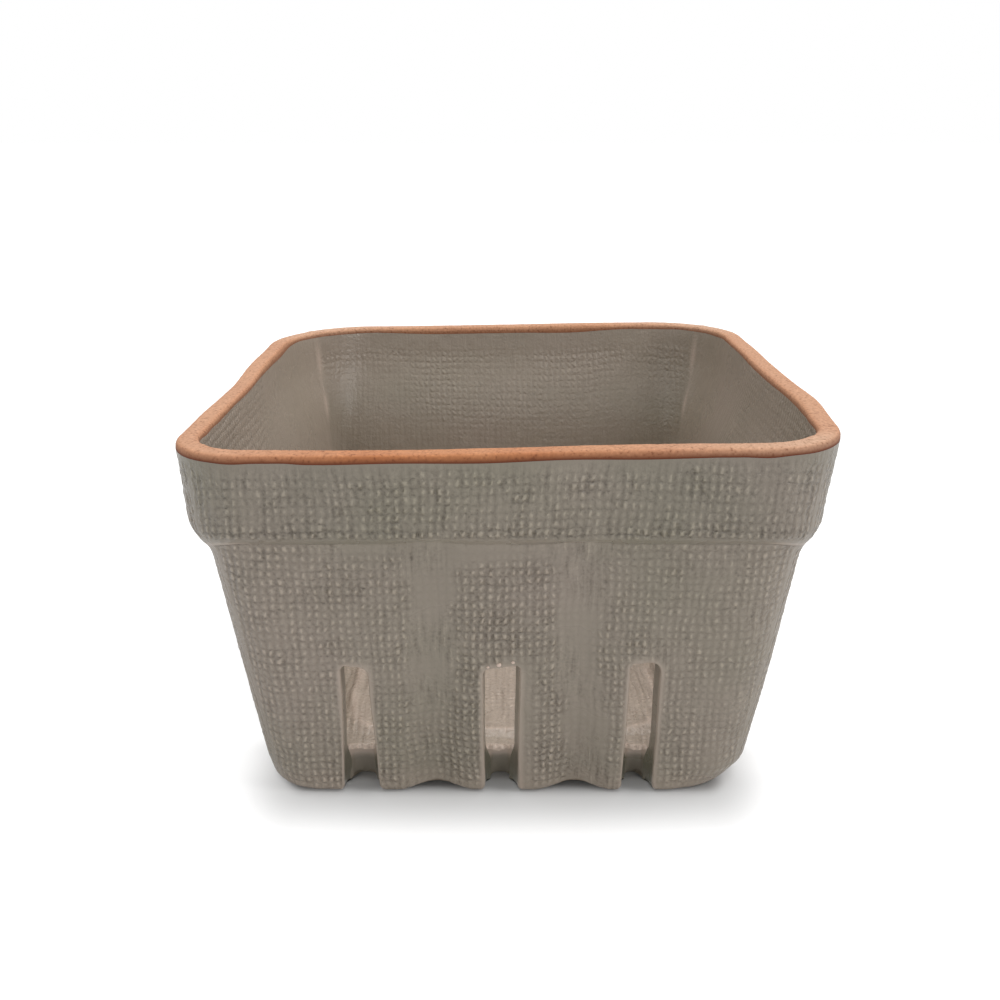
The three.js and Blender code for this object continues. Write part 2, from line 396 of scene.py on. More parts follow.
def inner_detail(s, v, calm, reach, seed):
    """Weaker weave inside; calm is 1 where the surface was wiped smooth"""
    patch = 0.8 + 0.5 * noise(s, v, 12.0, seed + 30)
    edge = mitre_calm(s, reach)
    strength = np.clip(patch, 0.0, 1.2) * (1.0 - calm) * edge
    knot, warp, weft = pressed(s, v, seed + 7)
    height = LINEN_HEIGHT * strength * knot
    height = height + 0.03 * edge * noise(s, v, 2.2, seed + 32)
    return height, layered(height, cloth=0.2 * strength, warp=warp, weft=weft)


def rim_detail(s, t, reach, seed):
    """Grain and finger marks of the bare rim; t runs across it from 0 to 1"""
    inside = smooth(0.0, 0.12, t) * smooth(1.0, 0.88, t)
    lumps = 0.09 * noise(s, t * 4.0, 14.0, seed + 40) + 0.02 * noise(s, t * 6.0, 2.2, seed + 41)
    pits = 0.025 * noise(s, t * 8.0, 0.7, seed + 42)
    return (inside * (lumps + pits) - 0.12 * inside) * mitre_calm(s, reach)


def foot_thin(z):
    """Glaze colour outside, lighter towards the foot: thinner glaze there, and painted light where the foot
    falls in shade
    """
    return 0.05 + 0.3 * smooth(9.0, 0.0, z)


def hand_warp(points):
    """Slow unevenness of the hand-made body, the same for every piece"""
    x, y, z = points[..., 0], points[..., 1], points[..., 2]
    top = smooth(BOW_LOW, HEIGHT, z)
    moved = points.copy()
    for hand, bows, bulge, width in SIDE_BOWS:
        near = limit((hand * x - BOW_START) / BOW_RANGE)
        bowed = sum(bow(y, shape) for shape in bows) + RIM_SWAY * noise(y, 0 * y + hand * 40.0, 22.0, 78)
        moved[..., 0] += near * (top * bowed + bow(z, bulge) * swell(y, BULGE_PLACE, width))
    lift = RIM_LIFT + RIM_STEP * np.tanh((x - RIM_STEP_PLACE) / RIM_STEP_WIDTH) + RIM_TILT * x / RIM_HALF
    lift = lift + RIM_RIPPLE * noise(x, y, 24.0, 77)
    moved[..., 2] += lift * smooth(SIDE_COLLAR_LOW + 3.0, HEIGHT, z)

    # Foot corners drawn in
    quarter = np.where(x > 0, np.where(y < 0, 0, 1), np.where(y < 0, 3, 2))
    across = limit((np.abs(x) - FOOT_TUCK_START) / FOOT_TUCK_RANGE)
    along = limit((np.abs(y) - FOOT_TUCK_START) / FOOT_TUCK_RANGE)
    pull = np.array(FOOT_TUCK)[quarter] * (across * along) * smooth(FOOT_TUCK_TOP, -0.5, z)
    moved[..., 0] -= np.sign(x) * pull
    moved[..., 1] -= np.sign(y) * pull
    moved[..., 2] = np.maximum(moved[..., 2], 0.0)
    return moved


# One side of the basket
def side_columns():
    """Places along one side: 0 to 1 on the flat, to 2 up to the corner, to 3 round it"""
    flat = np.arange(1, FLAT_COLUMNS + 1) / FLAT_COLUMNS
    blend = 1.0 + np.arange(1, BLEND_COLUMNS + 1) / BLEND_COLUMNS
    corner = 2.0 + np.arange(1, CORNER_COLUMNS + 1) / CORNER_COLUMNS
    half = np.concatenate([flat, blend, corner])
    return np.concatenate([-half[::-1], [0.0], half])


def carry(side, corner, columns):
    """Plan points, outward directions and distances along the side for one row or many"""
    hand = np.sign(columns)
    place = np.abs(columns)
    centre = side - corner
    angle = limit(place - 2.0) * np.pi / 4
    flat = np.where(place <= 1.0, place * FLAT_HALF, FLAT_HALF + (place - 1.0) * (centre - FLAT_HALF))
    x = np.where(place <= 2.0, flat, centre + corner * np.sin(angle))
    y = np.where(place <= 2.0, side, centre + corner * np.cos(angle))
    s = np.where(place <= 2.0, flat, centre + corner * angle)
    return hand * x, -y, hand * np.sin(angle), -np.cos(angle), hand * s


def soften(rows, first, last, times):
    """Rounds a stretch of the section, as thick glaze does"""
    for _ in range(times):
        body = rows[first:last]
        rows[first:last] = 0.25 * rows[first - 1:last - 1] + 0.5 * body + 0.25 * rows[first + 1:last + 1]


def turned(points, index):
    """Turns points from the front side to another side"""
    c, s = ((1, 0), (0, 1), (-1, 0), (0, -1))[index]
    x, y = points[..., 0], points[..., 1]
    return np.stack([c * x - s * y, s * x + c * y, points[..., 2]], axis=-1)


def unit(vectors):
    return vectors / np.linalg.norm(vectors, axis=-1, keepdims=True)


def grid_normals(points):
    """Directions of a grid of points from its rows and columns"""
    return unit(np.cross(np.gradient(points, axis=1), np.gradient(points, axis=0)))


class Side:
    """One side of the basket as a strip over the wall, collar and rim and down inside"""

    def __init__(self, index):
        self.index = index
        self.name = SIDES[index]
        self.seed = 100 + 50 * index
        self.columns = side_columns()
        collar = ((FRONT_COLLAR_LOW, SIDE_COLLAR_LOW), COLLAR_ROUND, COLLAR_RISE)
        self.low, self.round, self.rise = (self.eased(*pair) for pair in collar)
        self.glaze_lines()
        self.section()
        self.surface()

    def eased(self, front, beside):
        """One value along a front or side, easing to a shared value at the corners"""
        middle = front if self.index % 2 == 0 else beside
        shared = (front + beside) / 2
        turn = np.cos(limit(np.abs(self.columns) - 2.0) * np.pi / 2)
        return shared + (middle - shared) * turn

    def glaze_lines(self):
        """Heights at which the glaze stops outside and inside the rim"""
        place = np.abs(self.columns)
        along = self.columns * FLAT_HALF
        run = along * 0.55
        even = smooth(3.0, 2.5, place)
        self.outer_line = HEIGHT - RIM_BARE + even * GLAZE_WANDER * noise(run, 0 * run, 9.0, self.seed + 43)
        wander = even * 1.3 * GLAZE_WANDER * noise(run, 0 * run, 8.0, self.seed + 44)
        more = 0 * place
        if self.index == REAR:
            more = smooth(44.0, 20.0, np.abs(along))
        if self.index == LEFT:
            more = smooth(2.7, 2.0, place) * smooth(5.0, -20.0, along)
        self.inner_line = HEIGHT - RIM_BARE_INSIDE + wander - BACK_BARE * more

    def section(self):
        """Half-width, height and corner radius of every row at every column"""
        self.window = np.linspace(0.0, WINDOW_TOP, WINDOW_ROWS + 1)[:, None] + 0 * self.low
        self.upper = np.linspace(0.0, 1.0, UPPER_ROWS + 1)[1:, None]
        parts = (self.wall_rows(), self.collar_rows(), self.rim_rows(), self.lap_rows(), self.inner_rows())
        self.side, self.z, self.corner = np.concatenate(parts, axis=1)
        ends = np.where(self.columns > 0, self.index, (self.index - 1) % 4)
        self.corner += np.array(RIM_TUCK)[ends] * smooth(RIM_TUCK_LOW, HEIGHT, self.z)
        for values in (self.side, self.z, self.corner):
            soften(values, WALL_END - CREASE_ROWS[0], WALL_END + CREASE_ROWS[1], CREASE_TIMES)
            soften(values, RIM_END + BEND_ROWS[0], LAP + UPPER_ROWS + BEND_ROWS[1], BEND_TIMES)

    def wall_rows(self):
        z = np.vstack([self.window, WINDOW_TOP + self.upper * (self.low - WINDOW_TOP)])
        return wall_outer(z), z, wall_corner(z)

    def collar_rows(self):
        """Rounded lower edge and face of the collar"""
        centre = collar_outer(self.low + self.rise) - self.round
        start = np.arcsin(limit((wall_outer(self.low) - centre) / self.round))
        turn = start + np.linspace(0.0, 1.0, ROUND_ROWS + 1)[1:, None] * (np.pi / 2 - start)
        share = np.linspace(0.0, 1.0, COLLAR_ROWS - ROUND_ROWS + 1)[1:, None]
        face = self.low + self.rise + share * (self.outer_line - self.low - self.rise)
        side = np.vstack([centre + self.round * np.sin(turn), collar_outer(face)])
        z = np.vstack([self.low + self.rise * (1.0 - np.cos(turn)), face])
        return side, z, collar_corner(side)

    def rim_rows(self):
        turn = np.linspace(0.0, np.pi, RIM_ROWS + 1)[1:-1, None] + 0 * self.low
        square = np.sign(np.cos(turn)) * np.abs(np.cos(turn)) ** RIM_SQUARE
        side = collar_outer(HEIGHT - RIM_BARE) - RIM_THICK / 2 * (1.0 - square)
        line = np.where(turn < np.pi / 2, self.outer_line, self.inner_line)
        return side, line + (HEIGHT - line) * np.sin(turn) ** RIM_SQUARE, collar_corner(side)

    def lap_rows(self):
        """Inside of the collar, down to its lap"""
        rim_side = collar_outer(HEIGHT - RIM_BARE) - RIM_THICK
        fall = np.linspace(0.0, 1.0, COLLAR_ROWS + 1)[:, None] + 0 * self.low
        side = rim_side + fall * (wall_inner(LAP_TOP) + LAP_FLARE - rim_side)
        return side, self.inner_line + fall * (LAP_TOP - self.inner_line), collar_corner(side)

    def inner_rows(self):
        """Inside of the wall, below the lap"""
        z = np.vstack([LAP_TOP + self.upper * (WINDOW_TOP - LAP_TOP) + 0 * self.low, self.window[::-1][1:]])
        flare = limit((z - BEND) / (LAP_TOP - BEND)) * LAP_FLARE
        side = wall_inner(z) + flare
        return side, z, np.minimum(wall_corner(z) - WALL_THICK + flare, collar_corner(side))

    def surface(self):
        """Points, directions and cloth of the strip"""
        x, y, nx, ny, s = carry(self.side, self.corner, self.columns[None, :])
        reach = np.where(self.columns > 0, s[:, -1:], -s[:, :1])
        d_side = np.gradient(self.side, axis=0)
        d_z = np.gradient(self.z, axis=0)
        length = np.hypot(d_side, d_z)
        out, up = d_z / length, -d_side / length
        run = np.cumsum(length, axis=0)

        wall = slice(0, WALL_END + 1)
        collar = slice(WALL_END + 1, COLLAR_END + 1)
        rim = slice(COLLAR_END, RIM_END + 1)
        inner = slice(RIM_END, LAST + 1)
        lower, lower_cloth = wall_detail(s[wall], self.z[wall], reach[wall], self.low, self.index, self.seed)
        lower = lower - flute(x[wall], self.z[wall])
        climb = run[collar] - run[WALL_END]
        depth = HEIGHT - RIM_BARE - self.z[collar]
        upper, upper_cloth = collar_detail(s[collar], climb, depth, reach[collar], self.seed)
        start = smooth(0.0, COLLAR_EDGE[0], climb)
        upper = upper * start + lower[-1] * (1.0 - start)
        down = run[inner] - run[RIM_END]
        self.inner_z, self.inner_down = self.z[inner, FLAT_COLUMNS], down[:, FLAT_COLUMNS]
        inside, inside_cloth = self.inside(s[inner], down, reach[inner])
        across = np.linspace(0.0, 1.0, RIM_ROWS + 1)[:, None] + 0 * s[rim]
        coil = rim_detail(s[rim], across, reach[rim], self.seed)
        coil = coil + upper[-1] * smooth(0.3, 0.0, across) + inside[0] * smooth(0.7, 1.0, across)
        coil = coil[1:-1]
        height = np.concatenate([lower, upper, coil, inside])

        # Glaze colour: lighter towards the foot outside, a painted highlight on the collar's lower edge near
        # the corners, painted light inside and painted highlights down the mitres inside
        place = np.abs(self.columns)
        lower_cloth[TONE_AND_LIGHT] = foot_thin(self.z[wall])
        # Painted highlight along the collar's lower edge near the corners; the collar a little darker away
        # from its middle
        lip = swell(climb, 0.7, 0.6) * smooth(1.8, 2.5, place)
        upper_cloth[TONE_AND_LIGHT] = 0.6 * lip - 0.1 * smooth(0.3, 0.9, place)
        # Painted highlights down the inside mitres, where glossy corners would reflect the lights
        corner_highlight = sum(bow(down, shape) for shape in MITRE_PAINTED_HIGHLIGHTS)
        inside_cloth[TONE_AND_LIGHT] = self.inside_thin(self.z[inner]) + 0.8 * corner_highlight * smooth(2.92, 2.99, place)
        self.cloth = np.concatenate([lower_cloth, upper_cloth, layered(coil), inside_cloth], axis=1)

        flat_normal = np.stack([nx * out, ny * out, up], axis=-1)
        points = np.stack([x, y, self.z], axis=-1) + height[..., None] * flat_normal
        self.points = hand_warp(turned(points, self.index))
        self.normals = grid_normals(self.points)

    def inside(self, s, down, reach):
        """Weave inside; down is measured along the surface from the rim"""
        wiped = 0.6 * smooth(-0.2, 0.7, noise(s, down, 24.0, self.seed + 31))
        calm = np.maximum(smooth(8.0, 3.0, down), wiped)
        if self.index % 2:
            back = s * (2 - self.index)
            calm = 1.0 - (2.3 - 0.8 * wiped) * smooth(28.0, -22.0, back)
        height, cloth = inner_detail(s, down, calm, reach, self.seed)
        if self.index == REAR:
            cloth[CLOTH] = cloth[CLOTH] * (1.7 - 1.2 * smooth(20.0, 34.0, down))
        return height, cloth

    def inside_thin(self, z):
        """Painted light inside: the glaze made lighter, most on the left side's inside, which faces the
        light, lighter towards the floor, and darker in a painted shade band across the rear wall
        """
        # Painted shade in a band across the rear wall, where the bend inside catches more light
        rear_shade = bow(z, REAR_PAINTED_SHADE) if self.index == REAR else 0.0
        return INSIDE_PAINTED_LIGHT[self.index] + 0.2 * smooth(30.0, 0.0, z) - rear_shade

    def add_to(self, skin, first, last):
        """Adds the strip's rows from first to last to a piece"""
        rows = slice(first, last + 1)
        return skin.add(self.points[rows], self.normals[rows], self.cloth[:, rows])


def share_corner_normals(sides):
    """Gives the two strips that meet at a mitre one direction along it"""
    for here, after in zip(sides, sides[1:] + sides[:1]):
        both = unit(here.normals[:, -1] + after.normals[:, 0])
        here.normals[:, -1] = both
        after.normals[:, 0] = both


class Skin:
    """Collects the points and faces of one piece"""

    def __init__(self):
        self.points, self.normals, self.cloth, self.faces = [], [], [], []
        self.count = 0

    def add(self, points, normals, cloth):
        """Adds a grid of points, with the values that the materials read, and numbers them"""
        shape = points.shape[:-1]
        total = int(np.prod(shape))
        self.points.append(points.reshape(-1, 3))
        self.normals.append(normals.reshape(-1, 3))
        self.cloth.append(cloth.reshape(len(LAYERS), -1))
        numbers = self.count + np.arange(total).reshape(shape)
        self.count += total
        return numbers

    def quads(self, numbers, keep=None):
        faces = np.stack([numbers[:-1, :-1], numbers[:-1, 1:], numbers[1:, 1:], numbers[1:, :-1]], axis=-1)
        self.faces.append(faces[keep] if keep is not None else faces.reshape(-1, 4))

    def strip(self, first, second):
        """Joins two rows of points of equal length"""
        self.quads(np.stack([first, second]))

    def slab(self, outer, inner, keep=None):
        """Joins an outside and an inside to a mitred slab, leaving out the cells of its openings"""
        if keep is None:
            keep = np.ones((outer.shape[0] - 1, outer.shape[1] - 1), dtype=bool)
        self.quads(outer, keep)
        self.quads(inner, keep[::-1])
        self.quads(np.stack([inner[-1], outer[0]]), keep[:1])
        self.strip(outer[-1], inner[0])
        self.strip(inner[::-1, 0], outer[:, 0])
        self.strip(outer[:, -1], inner[::-1, -1])

    def build(self, name, node, material):
        mesh = bpy.data.meshes.new(name)
        points = np.concatenate(self.points) * MM
        mesh.from_pydata(points.tolist(), [], np.concatenate(self.faces).tolist(), shade_flat=False)
        mesh.validate()
        cloth = np.concatenate(self.cloth, axis=1).astype(np.float32)
        for label, values in zip(LAYERS, cloth):
            layer = mesh.attributes.new(label, "FLOAT", "POINT")
            layer.data.foreach_set("value", values)
        mesh.normals_split_custom_set_from_vertices(np.concatenate(self.normals).tolist())
        mesh.materials.append(material)
        piece = add_object(name, mesh)
        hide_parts(node)
        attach(piece, "root")


# Slots
def slot_outline(shape, grow, draft, border):
    """Slot outline grown by grow and drawn in by draft, a point for each point of the window border"""
    flank_z = border[:FLANK_ROWS, 1]
    quarter = np.linspace(0.0, np.pi / 2, 16)
    flanks, ends = [], []
    for hand, drawn, bend in zip((-1, 1), shape.draft, shape.bend):
        half = shape.half + grow - draft * drawn
        bend = max(bend + grow - 0.5 * draft, 0.4)
        top = shape.top + 0.6 * grow - 0.3 * draft + hand * shape.slope / 2
        x = hand * np.append(half, half - bend * (1.0 - np.cos(quarter)))
        z = np.append(flank_z[-1], top - bend * (1.0 - np.sin(quarter)))
        flanks.append(hand * half)
        ends.append(np.stack([x, z])[:, ::-hand])

    # Arch over the flanks, with a rough upper edge
    x, z = np.concatenate(ends, axis=1)
    run = np.concatenate([[0.0], np.cumsum(np.hypot(np.diff(x), np.diff(z)))])
    even = np.linspace(0.0, run[-1], len(border) - 2 * FLANK_ROWS + 2)
    arch_x, arch_z = np.interp(even, run, x), np.interp(even, run, z)
    rough = smooth(0.0, 0.25, even / run[-1]) * smooth(1.0, 0.75, even / run[-1])
    arch_z = arch_z + 0.22 * rough * noise(arch_x, 0 * arch_x + shape.top * 7.0, 1.5, 310)

    # Flanks, rounded at the foot, swaying, flared and pinched
    bell = FOOT_ROUND * 1.15
    under = np.clip(bell - flank_z, 0.0, bell)
    mouth = bell - np.sqrt(bell ** 2 - under ** 2)
    sway = 0.16 * noise(flank_z, 0 * flank_z + shape.half * 11.0, 6.0, 311)
    sway = sway * smooth(0.0, 6.0, flank_z[-1] - flank_z)
    spread = shape.flare * (1.0 - flank_z / flank_z[-1])
    pinch = (1.0 - math.sqrt(1.0 - draft ** 2)) * SLOT_PINCH * smooth(PINCH_TOP, PINCH_FOOT, flank_z)
    mouth = mouth * (1.0 - draft) + spread - pinch
    x = np.concatenate([flanks[0] - mouth + sway, arch_x[1:-1], (flanks[1] + mouth + sway)[::-1]])
    z = np.concatenate([flank_z, arch_z[1:-1], flank_z[::-1]])
    return np.stack([x + shape.shift, z], axis=-1)


def slot_layers():
    """Steps through a slot: kind, share of the way to its edge, growth, draft and depth in the wall"""
    face = np.linspace(0.0, 1.0, FACE_STEPS)
    turn = np.linspace(0.0, np.pi / 2, EDGE_STEPS)[1:]
    edge = SLOT_EDGE / WALL_THICK
    layers = [("outer", share, SLOT_EDGE, 0.0, 0.0) for share in face]
    layers += [("through", 1.0, SLOT_EDGE * (1 - np.sin(a)), 0.0, edge * (1 - np.cos(a))) for a in turn]
    for share in np.linspace(0.0, 1.0, THROUGH_STEPS)[1:]:
        layers.append(("through", 1.0, 0.0, share, edge + share * (1 - 2 * edge)))
    for a in turn:
        layers.append(("through", 1.0, SLOT_EDGE * (1 - np.cos(a)), 1.0, 1 - edge * (1 - np.sin(a))))
    layers += [("inner", share, SLOT_EDGE, 1.0, 1.0) for share in face[::-1][1:]]
    return layers


def slot_window(side, place):
    """Rows and columns of the strip round a slot, up one side, over it and down the other"""
    along = side.columns * FLAT_HALF
    first = int(np.argmin(np.abs(along - (place - WINDOW_HALF))))
    last = int(np.argmin(np.abs(along - (place + WINDOW_HALF))))
    climb = np.arange(WINDOW_ROWS + 1)
    rows = np.concatenate([climb, np.full(last - first - 1, WINDOW_ROWS), climb[::-1]])
    columns = np.concatenate([0 * climb + first, np.arange(first + 1, last), 0 * climb + last])
    border = np.stack([along[columns] - place, rows / WINDOW_ROWS * WINDOW_TOP], axis=-1)
    return rows, columns, border


def slot_patch(side, slot_index):
    """Grid from the window's border on the outside, through the slot, to the border inside"""
    place = SLOT_PLACES[slot_index]
    shape = slot_shape(side.index, slot_index)
    rows, columns, border = slot_window(side, place)
    points, cloth = [], []
    for kind, share, grow, draft, deep in slot_layers():
        outline = slot_outline(shape, grow, draft, border)
        flat = border + share * (outline - border)
        x, z = flat[:, 0] + place, flat[:, 1]
        far = np.full_like(x, FAR)
        outside = wall_outer(z) - flute(x, z)
        y = -outside + deep * (outside - wall_inner(z))
        if kind == "inner":
            height, layer = side.inside(x, np.interp(z, side.inner_z[::-1], side.inner_down[::-1]), far)
            y = y + height
            layer[TONE_AND_LIGHT] = side.inside_thin(z)
        else:
            height, layer = wall_detail(x, z, far, FRONT_COLLAR_LOW, side.index, side.seed)
            layer[TONE_AND_LIGHT] = foot_thin(z) + EDGE_RUN * (1.0 - slot_clear(x, z, side.index)[1])
        if kind == "outer":
            y = y - height
        if kind == "through":
            y = y - 0.06 * crumbs(x, z, side.seed + 15)
            layer[[CLOTH, DRAG]] = 0.0
            # Slot edges lighter where the glaze runs thinner; deeper in, the flanks darkened with painted
            # shade
            layer[TONE_AND_LIGHT] = EDGE_THIN if deep < 0.2 else FLANK_PAINTED_SHADE
        points.append(np.stack([x, y, z], axis=-1))
        cloth.append(layer)
    points = hand_warp(turned(np.stack(points, axis=1), side.index))
    normals = grid_normals(points)
    for layer, strip_rows in ((0, rows), (-1, LAST - rows)):
        points[:, layer] = side.points[strip_rows, columns]
        normals[:, layer] = side.normals[strip_rows, columns]
    return points, normals, np.stack(cloth, axis=-1), slice(columns[0], columns[-1])


def add_bead(skin, side, x, z, size):
    """Drop of glaze that ran to the top edge of a slot, painted light as a glint"""
    turn = np.linspace(0.0, 2 * np.pi, 17)[None, :]
    fall = np.linspace(0.0, np.pi, 11)[:, None]
    round_x, round_z = np.sin(fall) * np.cos(turn), np.sin(fall) * np.sin(turn)
    ball = np.stack([round_x, np.cos(fall) + 0 * turn, round_z], axis=-1)
    lump = 1.0 + 0.12 * noise(3.0 * round_x + x, 3.0 * round_z + z, 1.0, side.seed + 17)
    centre = np.array([x, -wall_outer(z) + flute(x, z) - 0.1 * size, z])
    points = centre + ball * lump[..., None] * np.array([1.0, 0.6, 0.8]) * size
    points = hand_warp(turned(points, side.index))
    skin.quads(skin.add(points, turned(ball, side.index), layered(lump, thin=BEAD_PAINTED_GLINT)))


# Pieces
def wall_piece(side, material):
    """Outside, inside, slots and foot of one wall"""
    skin = Skin()
    outer = side.add_to(skin, 0, WALL_END)
    inner = side.add_to(skin, LAP, LAST)
    keep = np.ones((WALL_END, len(side.columns) - 1), dtype=bool)
    for slot_index, place in enumerate(SLOT_PLACES):
        points, normals, cloth, window = slot_patch(side, slot_index)
        patch = skin.add(points, normals, cloth)
        skin.quads(patch)
        keep[:WINDOW_ROWS, window] = False
        shape = slot_shape(side.index, slot_index)
        if shape is SLOT_SHAPES[1]:
            for offset, above, size in SLOT_BEADS:
                add_bead(skin, side, place + shape.shift + offset, shape.top + above, size)
        for foot in (patch[0], patch[-1][::-1]):
            half = (len(foot) + 1) // 2
            skin.strip(foot[::-1][:half], foot[:half])
    skin.slab(outer, inner, keep)
    skin.build(f"{side.name}_wall_glazed", f"{side.name}_wall", material)


def collar_piece(side, material):
    """Outside and inside of one collar strip"""
    skin = Skin()
    skin.slab(side.add_to(skin, WALL_END, COLLAR_END), side.add_to(skin, RIM_END, LAP))
    skin.build(f"{side.name}_collar_glazed", f"{side.name}_collar", material)


def rim_piece(sides, material):
    """Bare clay coil all round the top, darker at its edges with stain and painted shade, paler at the sides
    and the back, with painted highlights along its top and at the front right
    """
    skin = Skin()
    for side in sides:
        rows = slice(COLLAR_END, RIM_END + 1)
        across = np.linspace(0.0, 1.0, RIM_ROWS + 1)[:, None] + 0 * side.z[rows]
        # Darker at the glaze lines with stain, and darker up the outer lower side with painted shade
        stain_and_shade = 0.75 * smooth(0.06, 0.0, across) + 0.38 * smooth(0.36, 0.03, across)
        stain_and_shade = stain_and_shade + 0.7 * smooth(0.93, 1.0, across)
        x, y = side.points[rows][..., 0], side.points[rows][..., 1]
        # Paler at the sides and the back; painted highlights along the top and at the front right, where the
        # light falls
        pale_and_lit = 0.42 * smooth(25.0, 66.0, np.abs(x)) + 0.4 * smooth(40.0, 66.0, y)
        pale_and_lit = pale_and_lit + 0.2 * swell(across, 0.5, 0.2) + 0.35 * smooth(-10.0, 40.0, x) * smooth(-55.0, -65.0, y)
        numbers = skin.add(side.points[rows], side.normals[rows], layered(stain_and_shade, drag=pale_and_lit, thin=stain_and_shade))
        skin.quads(numbers)
        skin.strip(numbers[-1], numbers[0])
    skin.build("rim_bare_clay", "rim_coil", material)


def floor_plan():
    """Half-width of the floor, its grid and the same grid drawn round at the corners"""
    half = wall_inner(FLOOR_TOP + FLOOR_RISE) + FLOOR_OVERLAP
    centre = half - (wall_corner(FLOOR_TOP) - WALL_THICK)
    spread = np.linspace(-half, half, 2 * round(half / CELL) + 1)
    x, y = np.meshgrid(spread, spread)
    px, py = np.abs(x) - centre, np.abs(y) - centre
    in_corner = (px > 0) & (py > 0)
    pull = np.where(in_corner, np.maximum(px, py) / np.where(in_corner, np.hypot(px, py), 1.0), 1.0)
    plan_x = np.where(in_corner, np.sign(x) * (centre + px * pull), x)
    plan_y = np.where(in_corner, np.sign(y) * (centre + py * pull), y)
    return half, x, y, np.stack([plan_x, plan_y, 0 * x], axis=-1)


def floor_notches(x, y, inset):
    """Share and direction in which the edge is bitten behind each slot, and the sill round it"""
    bitten = np.zeros(x.shape + (3,))
    sill = np.zeros_like(x)
    for index, along in enumerate((x, y, -x, -y)):
        away = (-y, x, y, -x)[index]
        facing = (away > 0) & (away >= np.abs(along))
        towards = np.array([(0, -1, 0, 1)[index], (1, 0, -1, 0)[index], 0])
        for slot_index, place in enumerate(SLOT_PLACES):
            shape = slot_shape(index, slot_index)
            left, right = shape.draft
            reach = shape.half - (left + right) / 2 + 0.75 * shape.flare - SLOT_PINCH + 0.2
            offset = np.abs(along - place - shape.shift - (left - right) / 2) / reach
            bite = limit(1.0 - offset ** NOTCH_POWER) ** (1 / NOTCH_POWER)
            bite = bite * smooth(NOTCH_REACH, 0.0, inset) * facing
            bitten = bitten + bite[..., None] * towards
            cradle = limit(offset) ** 3 * smooth(2.0, 1.1, offset)
            raised = SILL_SIDES * cradle + SILL_MIDDLE * smooth(1.0, 0.5, offset)
            sill = sill + facing * smooth(SILL_REACH, 0.0, inset) * raised
    return bitten, sill


def floor_piece(material):
    """Dished floor with a turned-up edge, notched behind every slot"""
    half, x, y, points = floor_plan()
    inset = half - np.maximum(np.abs(x), np.abs(y))
    bitten, sill = floor_notches(x, y, inset)
    points = points + (half - (FOOT_HALF - SLOT_SILL)) * bitten

    edge_share = limit(1.0 - inset / FLOOR_COVE)
    linen, cloth = inner_detail(x, y, smooth(9.0, 5.0, inset), np.full_like(x, FAR), 900)
    rough_edge = 0.4 * smooth(14.0, 3.0, inset) * noise(x, y, 3.0, 941)
    rough_edge = rough_edge + 0.25 * smooth(2.6, 1.2, inset) * noise(x, y, 1.3, 943)
    over = np.clip(FLOOR_LIP - inset, 0.0, FLOOR_LIP)
    z = FLOOR_TOP + FLOOR_RISE * edge_share ** 2 + linen + 0.15 * noise(x, y, 12.0, 940) + sill + rough_edge
    z = z - (FLOOR_LIP - np.sqrt(FLOOR_LIP ** 2 - over ** 2))
    field = half - (np.abs(x) ** FIELD_POWER + np.abs(y) ** FIELD_POWER) ** (1 / FIELD_POWER)
    bend = field + 0.5 * noise(x, y, 7.0, 942)
    line = swell(bend, FLOOR_LINE, 0.9)
    step = smooth(FLOOR_LINE - 0.5, FLOOR_LINE - 3.0, bend) * smooth(2.0, 6.0, inset)
    points[..., 2] = z + LINE_HEIGHT * line - FLOOR_STEP * step

    skin = Skin()
    lip = smooth(3.4, 1.2, inset)
    cloth[CLOTH] = 2.6 * cloth[CLOTH] + 0.5 * lip
    cloth[DRAG] = 0.5
    # Floor glaze made lighter as painted light, with painted highlights on the raised line and the lip, and a
    # painted shade band between the line and the edge
    line_band_shade = 0.12 * smooth(FLOOR_LINE, FLOOR_LINE - 3.0, bend)
    cloth[TONE_AND_LIGHT] = 0.58 + np.maximum(0.36 * line, 0.6 * lip) - line_band_shade
    top = skin.add(points, grid_normals(points), cloth)
    skin.quads(top)
    ring = np.concatenate([top[0, :-1], top[:-1, -1], top[-1, :0:-1], top[:0:-1, 0]])
    floor_edge(skin, points.reshape(-1, 3)[ring], bitten.reshape(-1, 3)[ring])
    skin.build("floor_slab_glazed", "floor_slab", material)


def floor_edge(skin, edge_points, bitten):
    """Edge of the floor slab, seen in the slots, and its underside"""
    ahead = np.roll(edge_points, -1, axis=0) - np.roll(edge_points, 1, axis=0)
    outward = unit(np.stack([ahead[:, 1], -ahead[:, 0], 0 * ahead[:, 0]], axis=-1))
    foot = FLOOR_LIFT * (1.0 - 0.8 * limit(2.0 * np.abs(bitten).sum(axis=-1)))
    rows, directions = [edge_points], [outward]
    for share in np.linspace(0.0, 1.0, FLOOR_EDGE_STEPS + 1)[1:]:
        row = edge_points.copy()
        row[:, 2] += share * (foot - row[:, 2])
        row += share * (SLOT_BACK - SLOT_SILL) * bitten
        row += outward * (0.1 * crumbs(np.arange(len(row)) * CELL, row[:, 2], 950)[:, None])
        rows.append(row)
        directions.append(outward)
    under = np.zeros_like(outward) + [0.0, 0.0, -1.0]
    for share in (0.0, 0.5, 1.0):
        rows.append(rows[FLOOR_EDGE_STEPS] * [1.0 - share, 1.0 - share, 1.0])
        directions.append(under)
    wall = np.stack(rows)
    # The edge's upper part carries the floor's painted light, fading to the plain glaze below
    glow = smooth(5.5, FLOOR_TOP + 1.0, wall[..., 2])
    numbers = skin.add(wall, np.stack(directions), layered(glow, thin=glow))
    numbers = np.concatenate([numbers, numbers[:, :1]], axis=1)
    skin.quads(numbers[:FLOOR_EDGE_STEPS + 1, ::-1])
    skin.quads(numbers[FLOOR_EDGE_STEPS + 1:, ::-1])


